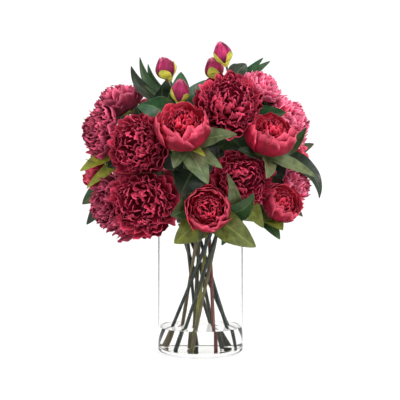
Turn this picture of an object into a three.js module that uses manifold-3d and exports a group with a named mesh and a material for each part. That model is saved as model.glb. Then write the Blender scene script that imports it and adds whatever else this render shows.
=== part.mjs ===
// Peonies in a vase: crimson blooms, closed buds and pointed leaves on twelve forked stems, which cross
// inside a clear glass cylinder and stand on its floor in a little water.
// Millimetres, +Z up. The origin is the centre of the vase's underside, and -Y is the front.
import * as THREE from "three";
import { mergeVertices } from "three/addons/utils/BufferGeometryUtils.js";
import Module from "manifold-3d";

const wasm = await Module();
wasm.setup();

// Driving dimensions
const VASE_RADIUS = 80;
const VASE_HEIGHT = 250;
const VASE_WALL = 3;
const VASE_FLOOR = 8;
const VASE_CORNER = 9; // rounding between the underside and the wall
const WATER_LEVEL = 49;
const GAP = 0.35; // left between two pieces that touch
const BLADE = 0.8; // thickness of a petal or a leaf
const STEM_RADIUS = 3.6;
const BRANCH_RADIUS = 2.3;
const FORK_HEIGHT = 296; // where each stem forks
const CALYX_HEIGHT = 7;
const CALYX_RADIUS = 8;
const BUD_LENGTH = 42;

const COLOURS = {
  glass: { color: 0xeef2f2, roughness: 0.03, metalness: 0 },
  water: { color: 0xdfe6e4, roughness: 0.02, metalness: 0 },
  stem: { color: 0x3c5f45, roughness: 0.6, metalness: 0 },
  ruffled: { color: 0x96143a, roughness: 0.75, metalness: 0 },
  cup: { color: 0xb81c38, roughness: 0.7, metalness: 0 },
  bud: { color: 0xb03a68, roughness: 0.6, metalness: 0 },
};

// The stems, named by where their heads are. Each is straight up to its fork and passes closest to the
// vase's axis at the height crossing, at the bearing waist and the distance ring. slope is its lean.
const OUTER_RING = 20;
const INNER_RING = 6;
const STEMS = [
  { name: "left_high", ring: INNER_RING, waist: 80, slope: 0.19, crossing: 156 },
  { name: "left", ring: OUTER_RING, waist: 87, slope: 0.4, crossing: 164 },
  { name: "left_low", ring: OUTER_RING, waist: 127, slope: 0.34, crossing: 152 },
  { name: "front_left", ring: OUTER_RING, waist: 167, slope: 0.38, crossing: 160 },
  { name: "front", ring: OUTER_RING, waist: 207, slope: 0.33, crossing: 150 },
  { name: "front_high", ring: INNER_RING, waist: 200, slope: 0.15, crossing: 156 },
  { name: "front_right", ring: OUTER_RING, waist: 247, slope: 0.4, crossing: 160 },
  { name: "right_low", ring: OUTER_RING, waist: 287, slope: 0.32, crossing: 150 },
  { name: "right_high", ring: INNER_RING, waist: 320, slope: 0.17, crossing: 156 },
  { name: "right_back", ring: OUTER_RING, waist: 327, slope: 0.38, crossing: 160 },
  { name: "back_right", ring: OUTER_RING, waist: 7, slope: 0.34, crossing: 152 },
  { name: "back_left", ring: OUTER_RING, waist: 47, slope: 0.39, crossing: 164 },
];

// Blooms: which stem carries each, the middle of the flower, its radius and the way it faces. The ruffled
// ones are open to many crowded petals, and the cups still hold theirs inside a few broad ones.
const RUFFLED_BLOOMS = [
  { name: "left_high", stem: "left_high", at: [-163, 36, 472], radius: 51, face: [-0.6, 0.1, 0.75] },
  { name: "left", stem: "left", at: [-191, -28, 418], radius: 47, face: [-0.9, -0.35, 0.15] },
  { name: "front_left", stem: "front_left", at: [-113, -116, 392], radius: 54, face: [-0.4, -0.9, 0.1] },
  { name: "left_low_front", stem: "left_low", at: [-106, -114, 288], radius: 59, face: [-0.3, -0.93, -0.1] },
  { name: "left_low", stem: "left_low", at: [-169, -26, 275], radius: 57, face: [-0.86, -0.35, -0.3] },
  { name: "right_high", stem: "front_high", at: [53, -126, 468], radius: 58, face: [0.1, -0.86, 0.45] },
  { name: "right_top", stem: "right_high", at: [114, -34, 503], radius: 40, face: [0.45, -0.1, 0.85] },
  { name: "right", stem: "right_high", at: [170, -14, 437], radius: 51, face: [0.87, -0.15, 0.4] },
  { name: "front_right_low", stem: "front_right", at: [77, -118, 328], radius: 54, face: [0.3, -0.94, 0] },
  { name: "right_low", stem: "right_low", at: [182, -26, 318], radius: 38, face: [0.93, -0.3, 0.1] },
  { name: "back_left_high", stem: "back_left", at: [-92, 122, 448], radius: 54, face: [-0.5, 0.65, 0.55] },
  { name: "back_right_high", stem: "right_back", at: [104, 118, 436], radius: 54, face: [0.55, 0.65, 0.5] },
  { name: "back_low", stem: "back_left", at: [-18, 165, 306], radius: 56, face: [-0.1, 0.99, -0.05] },
  { name: "back_right_low", stem: "back_right", at: [100, 140, 318], radius: 53, face: [0.6, 0.8, 0] },
  { name: "top", stem: "back_right", at: [14, 66, 462], radius: 47, face: [0.05, 0.35, 0.93] },
];
const CUP_BLOOMS = [
  { name: "left_small", stem: "left", at: [-202, 24, 341], radius: 29, face: [-0.9, -0.15, 0.3] },
  { name: "front_high", stem: "front", at: [-31, -165, 425], radius: 51, face: [-0.08, -0.66, 0.74] },
  { name: "front_right", stem: "front_right", at: [125, -118, 411], radius: 50, face: [0.2, -0.5, 0.84] },
  { name: "right_low_small", stem: "right_low", at: [147, -92, 287], radius: 38, face: [0.5, -0.65, 0.5] },
  { name: "right_back_small", stem: "right_back", at: [190, 42, 363], radius: 31, face: [0.95, 0.15, 0.25] },
  { name: "front_low", stem: "front", at: [13, -150, 280], radius: 45, face: [0.02, -0.96, 0.26] },
  { name: "back_high", stem: "back_right", at: [8, 160, 408], radius: 53, face: [0, 0.85, 0.5] },
  { name: "back_left_low", stem: "back_left", at: [-126, 118, 338], radius: 50, face: [-0.7, 0.7, 0.1] },
];

// Buds: which stem carries each, its middle, its radius and the way it points.
const BUDS = [
  { name: "left_high", stem: "left_high", at: [-66, -20, 537], radius: 19, face: [-0.35, -0.2, 0.9] },
  { name: "front_left", stem: "front_left", at: [-37, -85, 493], radius: 16, face: [0.05, -0.25, 0.97] },
  { name: "highest", stem: "front_high", at: [40, -30, 565], radius: 16, face: [-0.3, -0.1, 0.95] },
  { name: "front_high", stem: "front_high", at: [25, 10, 538], radius: 17, face: [-0.25, -0.2, 0.95] },
];

// The way a leaf's upper side faces where it stands at the front of the bouquet.
const FRONT = [0, -0.95, 0.3];
const FRONT_LEFT = [-0.5, -0.8, 0.2];
const FRONT_RIGHT = [0.4, -0.8, 0.4];

// Leaves: which head's branch each one grows from, how far along that branch, its tip and its width. A
// leaf arches outwards from the bouquet, or where it says around, away from its own branch's head, or the
// way that faces gives, or towards the point that via gives.
const LEAVES = [
  { on: "bud_left_high", along: 0.8, tip: [-130, -5, 540], width: 24, via: [-122, 0, 484], faces: FRONT },
  { on: "bud_left_high", along: 0.84, tip: [-114, 5, 557], width: 20, via: [-106, 4, 486], faces: FRONT },
  { on: "bud_left_high", along: 0.88, tip: [-99, 12, 545], width: 17, via: [-92, 10, 488], faces: FRONT },
  {
    on: "bud_left_high", along: 0.76, tip: [-62, -54, 514], width: 46,
    via: [-88, -48, 470], faces: FRONT,
  },
  {
    on: "bud_front_left", along: 0.6, tip: [-114, -92, 464], width: 56,
    via: [-66, -94, 478], faces: FRONT,
  },
  { on: "bud_front_left", along: 0.75, tip: [-36, -40, 527], width: 42, faces: FRONT },
  { on: "bud_front_left", along: 0.7, tip: [8, -56, 493], width: 40, faces: FRONT },
  { on: "bud_front_high", along: 0.8, tip: [117, -10, 555], width: 22, faces: FRONT },
  { on: "bud_front_high", along: 0.84, tip: [131, 10, 550], width: 22, faces: FRONT },
  { on: "bud_highest", along: 0.88, tip: [85, -5, 544], width: 34, faces: FRONT },
  { on: "bloom_right_top", along: 0.75, tip: [156, -75, 452], width: 44, faces: FRONT },
  {
    on: "bloom_front_right", along: 0.9, tip: [192, -82, 424], width: 26,
    via: [168, -61, 375], faces: FRONT_RIGHT,
  },
  { on: "bloom_front_high", along: 0.92, tip: [64, -160, 413], width: 38 },
  { on: "bloom_front_high", along: 0.92, tip: [-47, -170, 353], width: 28 },
  { on: "bloom_front_high", along: 0.96, tip: [13, -178, 326], width: 40 },
  { on: "bloom_front_high", along: 0.9, tip: [38, -174, 353], width: 26 },
  { on: "bloom_front_high", along: 0.55, tip: [-36, -128, 304], width: 60, faces: FRONT },
  { on: "bloom_front_high", along: 0.6, tip: [-5, -150, 340], width: 44, faces: FRONT },
  { on: "bloom_front_low", along: 0.92, tip: [47, -176, 344], width: 32, via: [66, -146, 274] },
  { on: "bloom_front_low", along: 0.92, tip: [93, -180, 309], width: 30, via: [86, -132, 262] },
  { on: "bloom_front_low", along: 0.7, tip: [98, -152, 213], width: 46 },
  { on: "bloom_right_low_small", along: 0.8, tip: [148, -115, 240], width: 38, faces: FRONT },
  { on: "bloom_right_low_small", along: 0.6, tip: [144, -96, 222], width: 34, faces: FRONT },
  { on: "bloom_front_right", along: 0.9, tip: [116, -162, 335], width: 32 },
  { on: "bloom_front_right", along: 0.9, tip: [212, -68, 334], width: 24, faces: FRONT_RIGHT },
  {
    on: "bloom_right", along: 0.75, tip: [219, -58, 295], width: 34,
    via: [228, -50, 354], faces: FRONT_RIGHT,
  },
  { on: "bloom_front_right", along: 0.8, tip: [66, -158, 386], width: 24 },
  { on: "bloom_left_small", along: 0.75, tip: [-226, 38, 279], width: 38, faces: FRONT_LEFT },
  { on: "bloom_left_small", along: 0.6, tip: [-218, 38, 240], width: 38, faces: FRONT_LEFT },
  { on: "bloom_left", along: 0.7, tip: [-224, -30, 344], width: 30, faces: FRONT_LEFT },
  { on: "bloom_left", along: 0.6, tip: [-212, -30, 312], width: 26, faces: FRONT_LEFT },
  { on: "bloom_left_high", along: 0.85, tip: [-222, 16, 443], width: 22, around: true },
  { on: "bloom_left", along: 0.75, tip: [-214, -30, 366], width: 26, around: true },
  { on: "bloom_left_high", along: 0.7, tip: [-146, -66, 444], width: 40, faces: FRONT },
  { on: "bloom_left_high", along: 0.6, tip: [-120, -20, 464], width: 50, faces: FRONT },
  { on: "bloom_left", along: 0.55, tip: [-172, -44, 352], width: 46, faces: FRONT },
  { on: "bloom_front_high", along: 0.62, tip: [-94, -80, 384], width: 50, faces: FRONT },
  { on: "bloom_right_high", along: 0.5, tip: [44, -66, 398], width: 52, faces: FRONT },
  { on: "bloom_right_high", along: 0.75, tip: [84, -66, 378], width: 50, faces: FRONT },
  { on: "bloom_right", along: 0.7, tip: [138, 0, 500], width: 48, faces: FRONT },
  { on: "bloom_right_low", along: 0.7, tip: [152, -50, 372], width: 58, faces: FRONT },
  { on: "bloom_front_low", along: 0.75, tip: [-47, -132, 218], width: 42 },
  { on: "bloom_front_low", along: 0.6, tip: [-58, -118, 270], width: 40, faces: FRONT },
  { on: "bloom_front_right_low", along: 0.6, tip: [38, -128, 214], width: 32 },
  { on: "bloom_right_low", along: 0.62, tip: [192, -6, 258], width: 34, faces: FRONT_RIGHT },
  { on: "bloom_right_back_small", along: 0.6, tip: [218, 56, 394], width: 34, faces: FRONT_RIGHT },
  { on: "bloom_right_back_small", along: 0.65, tip: [205, 76, 300], width: 36 },
  { on: "bloom_back_right_low", along: 0.6, tip: [118, 140, 240], width: 38, around: true },
  { on: "bloom_back_right_low", along: 0.6, tip: [172, 118, 372], width: 36, around: true },
  { on: "bloom_back_low", along: 0.6, tip: [44, 178, 250], width: 38, around: true },
  { on: "bloom_back_low", along: 0.6, tip: [-62, 172, 242], width: 38, around: true },
  { on: "bloom_back_high", along: 0.6, tip: [50, 190, 362], width: 38, around: true },
  { on: "bloom_back_high", along: 0.6, tip: [-52, 186, 372], width: 38, around: true },
  { on: "bloom_back_left_low", along: 0.6, tip: [-176, 128, 270], width: 34, around: true },
  { on: "bloom_back_left_low", along: 0.6, tip: [-188, 84, 398], width: 34, around: true },
  { on: "bloom_back_left_high", along: 0.6, tip: [-30, 130, 498], width: 36 },
  { on: "bloom_top", along: 0.7, tip: [70, 58, 506], width: 36, around: true },
  { on: "bloom_left_low", along: 0.6, tip: [-158, 52, 252], width: 34, around: true },
  { on: "bloom_top", along: 0.7, tip: [-44, 44, 500], width: 32, around: true },
];

// The two kinds of bloom, in units of the bloom's radius. Each ring of petals rises from the one outside
// it as one wall: outside and inside are points of its two faces, lip is the top edge, and valley is
// where the next ring starts. notch is how far the wall drops between two petals, and ripple is how far
// the petals wave in and out. Points are [radius, height] above the flat seat.
const KINDS = {
  ruffled: {
    seat: 0.2,
    centre: 0.92,
    rings: [
      {
        petals: { large: 6, small: 5 },
        outside: [[0.64, 0.16]],
        lip: [1, 0.52],
        inside: [],
        valley: [0.58, 0.42],
        notch: 0.75,
        ripple: 0.05,
      },
      {
        petals: { large: 6, small: 5 },
        outside: [],
        lip: [0.84, 0.9],
        inside: [],
        valley: [0.42, 0.66],
        notch: 0.8,
        ripple: 0.06,
      },
      {
        petals: { large: 3, small: 3 },
        outside: [],
        lip: [0.46, 1.16],
        inside: [],
        notch: 0.8,
        ripple: 0.06,
      },
    ],
  },
  cup: {
    seat: 0.22,
    centre: 0.95,
    rings: [
      {
        petals: { large: 6, small: 5 },
        outside: [[0.78, 0.2], [1, 0.66]],
        lip: [0.84, 1.12],
        inside: [[0.93, 0.68]],
        valley: [0.62, 0.6],
        notch: 0.8,
        ripple: 0.02,
      },
      {
        petals: { large: 3, small: 3 },
        outside: [],
        lip: [0.56, 1.08],
        inside: [],
        notch: 0.75,
        ripple: 0.08,
      },
    ],
  },
};
const BLOOM_COLUMNS = 18; // points round a bloom
const SMALL_BLOOM_COLUMNS = 12;
const SMALL_BLOOM = 41; // radius below which a bloom is a small one
const BLOOM_DEPTH = 0.58; // from the seat to the middle of a bloom, in its radii
const PETAL_SIZES = [0.92, 1.04]; // smallest and largest share of a petal's full height

// The space that a bloom takes, a little larger than its petals: [radius, height] in its radii.
const BLOOM_SPACE = [
  [0, -0.05], [0.3, -0.05], [0.76, 0.1], [1.12, 0.44], [1.12, 0.8], [0.66, 1.28], [0, 1.3],
];

// A bud's outline is widest below its middle. Its three petals are raised from it and wind round it.
const BUD_HEIGHTS = [0.08, 0.25, 0.45, 0.65, 0.84, 0.96];
const BUD_PETALS = 3;
const BUD_TWIST = 5;
const BUD_RELIEF = 0.06;

// The sepals of a bud: how far up it each one reaches, and the half angle of the bud that each row covers.
const SEPAL_REACHES = [0.7, 0.45, 0.55];
const SEPAL_HALF_ANGLES = [0.8, 0.75, 0.5, 0.1];
const SEPAL_STEP = 2.1; // angle from one sepal to the next
const SEPAL_ROOT = -0.03; // where a sepal starts, in lengths of the bud
const SEPAL_FLARE = 1.2; // how far its tip stands off

// A leaf: its half width in four rows from root to tip, as a share of its widest, and its arch and fold.
const LEAF_HALF_WIDTHS = [0.07, 0.92, 0.86, 0.05];
const LEAF_ARCH = 0.16;
const LEAF_ARCH_AROUND = 0.32;
const LEAF_FOLD = 0.3;
const LEAF_WAVES = [0.12, 0.22]; // least and greatest share by which its edges wave
const LEAF_WAVE_STEP = 2.6;

const VASE_SIDES = 32;
const VASE_INNER_CORNER = 6;
const STEM_SIDES = 6;
const BRANCH_SIDES = 5;
const CALYX_SIDES = 5;
const ROD_STEP = 60; // length of the straight stretches of a branch
const FORK_START = 0.985; // how far up the straight part of a stem its branches start
const BRANCH_BEND = 0.38; // how far a branch keeps its direction at each end, as a share of its span
const WATER_HOLE = STEM_RADIUS + 0.5;

const UP = new THREE.Vector3(0, 0, 1);
const BOUQUET_HEART = new THREE.Vector3(0, 0, 300);

// A seeded source of numbers from 0 to 1.
function seeded(seed) {
  let state = seed;
  return () => {
    state = (Math.imul(state, 1664525) + 1013904223) >>> 0;
    return state / 4294967296;
  };
}

// A closed geometry as a solid that can be joined and cut.
function solidOf(geometry) {
  const bare = geometry.clone();
  bare.deleteAttribute("normal");
  bare.deleteAttribute("uv");
  const merged = mergeVertices(bare, 1e-3);
  const corners = merged.index.array;
  const kept = [];
  for (let i = 0; i < corners.length; i += 3) {
    const [a, b, c] = corners.slice(i, i + 3);
    if (a !== b && b !== c && c !== a) kept.push(a, b, c);
  }
  return new wasm.Manifold(
    new wasm.Mesh({
      numProp: 3,
      vertProperties: new Float32Array(merged.attributes.position.array),
      triVerts: new Uint32Array(kept),
    }),
  );
}

function spread([least, most], share) {
  return least + (most - least) * share;
}

function joined(solids) {
  return solids.reduce((all, next) => all.add(next));
}

// The largest body of a solid, without the loose scraps of a cut.
function largest(solid) {
  return solid.decompose().reduce((best, body) => (body.volume() > best.volume() ? body : best));
}

function meshOf(name, solid, colour) {
  const data = solid.getMesh();
  const geometry = new THREE.BufferGeometry();
  geometry.setAttribute("position", new THREE.BufferAttribute(new Float32Array(data.vertProperties), 3));
  geometry.setIndex(new THREE.BufferAttribute(new Uint32Array(data.triVerts), 1));
  geometry.computeVertexNormals();
  const mesh = new THREE.Mesh(geometry, new THREE.MeshStandardMaterial(COLOURS[colour]));
  mesh.name = name;
  return mesh;
}

// A turned solid about +Z from [radius, height] points, which run upwards on the outside.
function turned(points, sides) {
  const outline = points.map(([radius, height]) => new THREE.Vector2(radius, height));
  return new THREE.LatheGeometry(outline, sides).rotateX(Math.PI / 2);
}

// The placing of a head: its own +Z points the way it faces, and its seat is at the origin.
function placing(seat, face) {
  const turn = new THREE.Quaternion().setFromUnitVectors(UP, face);
  return new THREE.Matrix4().compose(seat, turn, new THREE.Vector3(1, 1, 1));
}

// A thin closed sheet. place(u, v) gives its middle surface, with u from -1 to 1 across and v from 0
// to 1 along, and both faces are split into the same triangles.
function blade(across, along, place, thickness = BLADE) {
  const middle = [];
  for (let j = 0; j <= along; j++)
    for (let i = 0; i <= across; i++) middle.push(place((2 * i) / across - 1, j / along));
  const at = (i, j) => j * (across + 1) + i;
  const front = [];
  for (let j = 0; j < along; j++)
    for (let i = 0; i < across; i++) {
      const [a, b, c, d] = [at(i, j), at(i + 1, j), at(i + 1, j + 1), at(i, j + 1)];
      if (i < across / 2) front.push(a, b, c, a, c, d);
      else front.push(a, b, d, b, c, d);
    }
  const sheet = new THREE.BufferGeometry().setFromPoints(middle);
  sheet.setIndex(front);
  sheet.computeVertexNormals();
  const normals = sheet.attributes.normal;
  const faces = middle.map((p, i) =>
    p.clone().addScaledVector(new THREE.Vector3().fromBufferAttribute(normals, i), thickness / 2));
  const backs = middle.map((p, i) =>
    p.clone().addScaledVector(new THREE.Vector3().fromBufferAttribute(normals, i), -thickness / 2));
  const back = middle.length;
  const index = [...front];
  for (let i = 0; i < front.length; i += 3) {
    const [a, b, c] = front.slice(i, i + 3);
    index.push(a + back, c + back, b + back);
  }
  const rim = [];
  for (let i = 0; i < across; i++) rim.push(at(i, 0));
  for (let j = 0; j < along; j++) rim.push(at(across, j));
  for (let i = across; i > 0; i--) rim.push(at(i, along));
  for (let j = along; j > 0; j--) rim.push(at(0, j));
  rim.forEach((a, i) => {
    const b = rim[(i + 1) % rim.length];
    index.push(b, a, a + back, b, a + back, b + back);
  });
  const closed = new THREE.BufferGeometry().setFromPoints([...faces, ...backs]);
  closed.setIndex(index);
  return closed;
}

function between(from, to, share) {
  return [from[0] + (to[0] - from[0]) * share, from[1] + (to[1] - from[1]) * share];
}

// The two rows of points along the top edge of a ring of petals, outer face first. column runs round
// the bloom, and the petals' lips stand high in their middle and drop in the notch between them.
function lipRows(ring, before, after, radius, shift, sizes, columns) {
  const petals = sizes.length;
  const thin = BLADE / 2 / radius;
  const [rise, lean] = [ring.lip[1] - after[1], ring.lip[0] - after[0]];
  const length = Math.hypot(rise, lean);
  const out = [rise / length, -lean / length];
  const rows = [[], []];
  for (let column = 0; column < columns; column++) {
    const place = (column * petals) / columns + shift;
    const size = sizes[Math.floor(place) % petals];
    const inPetal = place - Math.floor(place);
    const drop = ring.notch * Math.pow(Math.abs(2 * inPetal - 1), 3) + (1 - size);
    const ripple = ring.ripple * (column % 2 ? 1 : -1) * (1 - drop);
    [before, after].forEach((root, face) => {
      const [r, h] = between(ring.lip, root, drop);
      const step = ripple + (face ? -thin : thin);
      rows[face].push([r + out[0] * step, h + out[1] * step]);
    });
  }
  return rows;
}

// A bloom as one closed surface, from the middle of its seat out over each ring of petals to its centre.
function bloomGeometry({ kind, radius }, random) {
  const { seat, centre, rings } = KINDS[kind];
  const small = radius < SMALL_BLOOM;
  const columns = small ? SMALL_BLOOM_COLUMNS : BLOOM_COLUMNS;
  const plain = (point) => Array(columns).fill(point);
  const rows = [plain([seat, 0])];
  const falls = [false]; // whether the strip above each row runs down a petal's inner face
  let before = [seat, 0];
  rings.forEach((ring, level) => {
    const length = small ? ring.petals.small : ring.petals.large;
    const sizes = Array.from({ length }, () => spread(PETAL_SIZES, random()));
    for (const point of ring.outside) {
      rows.push(plain(point));
      falls.push(false);
      before = point;
    }
    const after = ring.inside[0] || ring.valley || [0, centre];
    rows.push(...lipRows(ring, before, after, radius, level * 0.5, sizes, columns));
    falls.push(false, true);
    for (const point of ring.inside) {
      rows.push(plain(point));
      falls.push(true);
    }
    if (ring.valley) {
      rows.push(plain(ring.valley));
      falls.push(false);
      before = ring.valley;
    }
  });
  const turn = random() * Math.PI;
  const points = [new THREE.Vector3(0, 0, 0)];
  for (const row of rows)
    row.forEach(([r, h], column) => {
      const angle = turn + (2 * Math.PI * column) / columns;
      points.push(new THREE.Vector3(r * Math.cos(angle), r * Math.sin(angle), h).multiplyScalar(radius));
    });
  points.push(new THREE.Vector3(0, 0, centre * radius));
  const at = (row, column) => 1 + row * columns + (column % columns);
  const index = [];
  for (let column = 0; column < columns; column++) {
    index.push(0, at(0, column + 1), at(0, column));
    for (let row = 0; row < rows.length - 1; row++) {
      const [a, b] = [at(row, column), at(row, column + 1)];
      const [c, d] = [at(row + 1, column + 1), at(row + 1, column)];
      if (falls[row]) index.push(a, b, d, b, c, d);
      else index.push(a, b, c, a, c, d);
    }
    index.push(at(rows.length - 1, column), at(rows.length - 1, column + 1), points.length - 1);
  }
  const geometry = new THREE.BufferGeometry().setFromPoints(points);
  geometry.setIndex(index);
  return geometry;
}

function bloomSolid(bloom) {
  const geometry = bloomGeometry(bloom, seeded(Math.round(bloom.radius * 31 + bloom.at[0])));
  return solidOf(geometry.applyMatrix4(bloom.matrix));
}

// The space that a bloom takes, as a solid that leaves are kept out of.
function bloomSpace({ radius, matrix }) {
  const space = turned(BLOOM_SPACE.map(([r, h]) => [r * radius, h * radius]), 12);
  return solidOf(space.applyMatrix4(matrix));
}

// A bud's radius at a height from 0 to 1: widest below the middle, with a blunt tip.
function budRadius(height) {
  return Math.sin(Math.PI * Math.pow(0.06 + 0.9 * height, 0.78));
}

// A closed bud: an egg whose surface is raised into wrapped petals.
function budSolid({ radius, matrix }, grow = 0) {
  const outline = [[0, 0], ...BUD_HEIGHTS.map((h) => [budRadius(h), h]), [0, 1]];
  const shape = turned(outline.map(([r, h]) => [r * (radius + grow), h * BUD_LENGTH]), 10);
  const points = shape.attributes.position;
  for (let i = 0; i < points.count; i++) {
    const [x, y, z] = [points.getX(i), points.getY(i), points.getZ(i)];
    const turn = BUD_PETALS * Math.atan2(y, x) + (BUD_TWIST * z) / BUD_LENGTH;
    const wrap = 1 - BUD_RELIEF + BUD_RELIEF * Math.cos(turn);
    points.setXYZ(i, x * wrap, y * wrap, z);
  }
  return solidOf(shape.applyMatrix4(matrix));
}

// A sepal of a bud: a pointed blade that lies close round the bud's lower half.
function sepal({ radius }, bearing, reach) {
  const rows = SEPAL_HALF_ANGLES.length - 1;
  return blade(2, rows, (u, v) => {
    const height = reach * v + SEPAL_ROOT;
    const bud = budRadius(Math.max(height, 0.02) + 0.04) * radius * (1 + BUD_RELIEF);
    const r = bud + GAP + BLADE + SEPAL_FLARE * v;
    const angle = bearing + u * SEPAL_HALF_ANGLES[Math.round(v * rows)];
    return new THREE.Vector3(r * Math.cos(angle), r * Math.sin(angle), height * BUD_LENGTH);
  });
}

// A round rod along a curve, in one stretch where that is a straight line.
function rod(curve, radius, sides) {
  const steps = curve.isLineCurve3 ? 1 : Math.max(2, Math.round(curve.getLength() / ROD_STEP));
  const section = new THREE.Shape();
  for (let i = 0; i < sides; i++) {
    const angle = (2 * Math.PI * i) / sides;
    section[i ? "lineTo" : "moveTo"](radius * Math.cos(angle), radius * Math.sin(angle));
  }
  return new THREE.ExtrudeGeometry(section, { steps, bevelEnabled: false, extrudePath: curve });
}

// The straight lower part of a stem. All of them lean the same way round the vase's axis, so they pass
// each other without touching.
function trunkLine({ ring, waist, slope, crossing }) {
  const foot = VASE_FLOOR + GAP + STEM_RADIUS * Math.sin(Math.atan(slope));
  const bearing = THREE.MathUtils.degToRad(waist);
  const out = new THREE.Vector3(Math.cos(bearing), Math.sin(bearing), 0);
  const side = new THREE.Vector3(-Math.sin(bearing), Math.cos(bearing), 0);
  const at = (height) =>
    out.clone().multiplyScalar(ring)
      .addScaledVector(side, (height - crossing) * slope)
      .setZ(height);
  return new THREE.LineCurve3(at(foot), at(FORK_HEIGHT));
}

// A branch from the fork of a stem to the calyx under a head.
function branchCurve(trunk, seat, face) {
  const fork = trunk.getPoint(FORK_START);
  const end = seat.clone().addScaledVector(face, -CALYX_HEIGHT / 2);
  const reach = fork.distanceTo(end) * BRANCH_BEND;
  const rise = trunk.getTangent(1).multiplyScalar(reach);
  return new THREE.CubicBezierCurve3(
    fork, fork.clone().add(rise), end.clone().addScaledVector(face, -reach), end);
}

// A leaf from its root to its tip, arched outwards, folded along its rib and waved at its edges.
// grow makes the same leaf larger all round, to clear other pieces with.
function leafGeometry(root, { tip, width, around, via, faces }, head, wave, grow = 0) {
  const end = new THREE.Vector3(...tip);
  const run = end.clone().sub(root);
  const middle = root.clone().addScaledVector(run, 0.5);
  const away = faces
    ? new THREE.Vector3(...faces)
    : middle.clone().sub(around ? head.middle : BOUQUET_HEART);
  const along = run.clone().normalize();
  const lift = away.addScaledVector(along, -away.dot(along)).normalize();
  const arch = run.length() * (around ? LEAF_ARCH_AROUND : LEAF_ARCH);
  const bend = via ? new THREE.Vector3(...via) : middle.addScaledVector(lift, arch);
  const spine = new THREE.QuadraticBezierCurve3(root, bend, end.clone().addScaledVector(along, grow));
  const across = new THREE.Vector3().crossVectors(along, lift).normalize();
  const rows = LEAF_HALF_WIDTHS.length - 1;
  return blade(2, rows, (u, v) => {
    const row = Math.round(v * rows);
    const half = (LEAF_HALF_WIDTHS[row] * width) / 2 + grow;
    const fold = half * (LEAF_FOLD * Math.abs(u) + wave * u * Math.cos(LEAF_WAVE_STEP * row));
    return spine.getPoint(v).addScaledVector(across, u * half).addScaledVector(lift, fold);
  }, BLADE + 2 * grow);
}

// Three [radius, height] points round a corner between a level face and the wall above it.
function rounded(radius, height, round) {
  const slant = round * (1 - Math.SQRT1_2);
  return [[radius - round, height], [radius - slant, height + slant], [radius, height + round]];
}

function makeVase() {
  const inner = VASE_RADIUS - VASE_WALL;
  const profile = [
    [0, 0],
    ...rounded(VASE_RADIUS, 0, VASE_CORNER),
    [VASE_RADIUS, VASE_HEIGHT],
    [inner, VASE_HEIGHT],
    ...rounded(inner, VASE_FLOOR, VASE_INNER_CORNER).reverse(),
    [0, VASE_FLOOR],
  ];
  return meshOf("vase", solidOf(turned(profile, VASE_SIDES)), "glass");
}

// The water, with a plain hole round each stem.
function makeWater(trunks) {
  const bottom = VASE_FLOOR + GAP;
  const outside = VASE_RADIUS - VASE_WALL - GAP;
  const profile = [
    [0, bottom],
    ...rounded(outside, bottom, VASE_INNER_CORNER - GAP),
    [outside, WATER_LEVEL],
    [0, WATER_LEVEL],
  ];
  const body = solidOf(turned(profile, VASE_SIDES));
  const holes = trunks.map((trunk) => {
    const deeper = new THREE.LineCurve3(trunk.getPoint(-0.05), trunk.getPoint(0.3));
    return solidOf(rod(deeper, WATER_HOLE, STEM_SIDES));
  });
  return meshOf("water", holes.reduce((all, hole) => all.subtract(hole), body), "water");
}

// The heads, with where each one sits and the branch that carries it.
function planHeads(trunks) {
  const blooms = (rows, kind) =>
    rows.map((row) => ({ ...row, kind, name: "bloom_" + row.name, depth: row.radius * BLOOM_DEPTH }));
  const buds = BUDS.map((row) => ({ ...row, kind: "bud", name: "bud_" + row.name, depth: BUD_LENGTH / 2 }));
  const heads = [...blooms(RUFFLED_BLOOMS, "ruffled"), ...blooms(CUP_BLOOMS, "cup"), ...buds];
  for (const head of heads) {
    const face = new THREE.Vector3(...head.face).normalize();
    const seat = new THREE.Vector3(...head.at).addScaledVector(face, -head.depth);
    head.middle = new THREE.Vector3(...head.at);
    head.matrix = placing(seat, face);
    head.branch = branchCurve(trunks[STEMS.findIndex(({ name }) => name === head.stem)], seat, face);
  }
  return heads;
}

// The green cup under a head, with a bud's sepals.
function calyx(head) {
  const rim = 1.5;
  const profile = [[0, -CALYX_HEIGHT - 2], [CALYX_RADIUS, -GAP - rim], [CALYX_RADIUS, -GAP], [0, -GAP]];
  const pieces = [turned(profile, CALYX_SIDES)];
  if (head.kind === "bud")
    SEPAL_REACHES.forEach((reach, i) => pieces.push(sepal(head, SEPAL_STEP * i + head.radius, reach)));
  return joined(pieces.map((piece) => solidOf(piece.applyMatrix4(head.matrix))));
}

// Cuts two heads that press on each other along the plane midway between them, with a gap left.
function part(one, other) {
  const across = other.middle.clone().sub(one.middle).normalize();
  const share = one.radius / (one.radius + other.radius);
  const plane = one.middle.clone().lerp(other.middle, share);
  const size = 2 * (one.radius + other.radius);
  for (const [head, sign] of [[one, 1], [other, -1]]) {
    const block = new THREE.BoxGeometry(size, size, size).translate(0, 0, size / 2 - GAP / 2);
    block.applyMatrix4(placing(plane, across.clone().multiplyScalar(sign)));
    head.solid = largest(head.solid.subtract(solidOf(block)));
  }
}

// Two boxes that are near enough for their solids to touch.
function near(a, b) {
  const [p, q] = [a.boundingBox(), b.boundingBox()];
  return [0, 1, 2].every((i) => p.min[i] < q.max[i] && q.min[i] < p.max[i]);
}

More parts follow.
